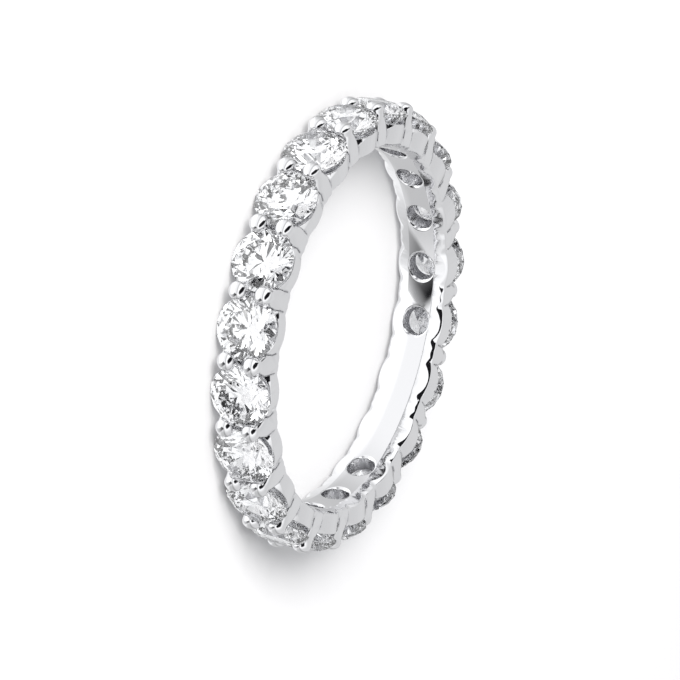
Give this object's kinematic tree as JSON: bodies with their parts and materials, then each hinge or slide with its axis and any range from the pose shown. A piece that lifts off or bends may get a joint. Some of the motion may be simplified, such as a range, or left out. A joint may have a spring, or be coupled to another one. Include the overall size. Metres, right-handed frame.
{
  "type": "diamond eternity ring",
  "caption": "Finger ring set all the way round with round brilliants in shared claws, over an open cup gallery.",
  "frame": {"origin": "on the finger axis, at the surface that the ring lies on", "axes": "+Z along the finger axis, upwards out of the ring as it lies on its side; +X and +Y in the plane of the ring, with a claw pair on +X"},
  "size_m": [0.0214, 0.0214, 0.003],
  "materials": {
    "white_gold": "polished white gold",
    "diamond": "polished colourless diamond"
  },
  "bodies": {
    "root": {"band": "white_gold", "stone_01": "diamond", "stone_02": "diamond", "stone_03": "diamond", "stone_04": "diamond", "stone_05": "diamond", "stone_06": "diamond", "stone_07": "diamond", "stone_08": "diamond", "stone_09": "diamond", "stone_10": "diamond", "stone_11": "diamond", "stone_12": "diamond", "stone_13": "diamond", "stone_14": "diamond", "stone_15": "diamond", "stone_16": "diamond", "stone_17": "diamond", "stone_18": "diamond", "stone_19": "diamond", "stone_20": "diamond"}
  },
  "joints": []
}
